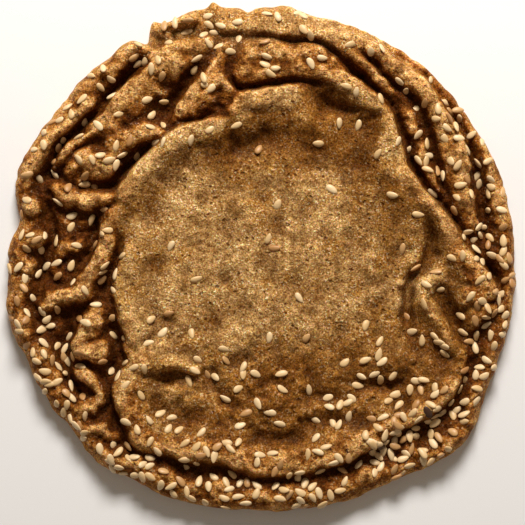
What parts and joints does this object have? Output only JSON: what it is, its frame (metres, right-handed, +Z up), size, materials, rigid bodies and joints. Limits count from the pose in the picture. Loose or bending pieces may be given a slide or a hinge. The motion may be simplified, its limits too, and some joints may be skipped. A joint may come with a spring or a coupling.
{
  "type": "sesame cookie",
  "caption": "Wide, thin, crisp round cookie with a smooth golden middle, deeply wrinkled brown sides and sesame seeds baked on, resting flat.",
  "frame": {"origin": "centre of the cookie's flat underside, midway in its box", "axes": "+Z is up, out of the seeded top; +Y is the side with the wide far bulge, and the outline's corner bulge lies towards +X and -Y"},
  "size_m": [0.1198, 0.1196, 0.0086],
  "materials": {
    "crust": "baked cookie crust: matt golden tan in the middle, orange brown on the folds and dark brown in the creases",
    "sesame": "toasted hulled sesame seeds, satin cream to tan"
  },
  "bodies": {
    "root": {"cookie": "crust"}
  },
  "joints": []
}
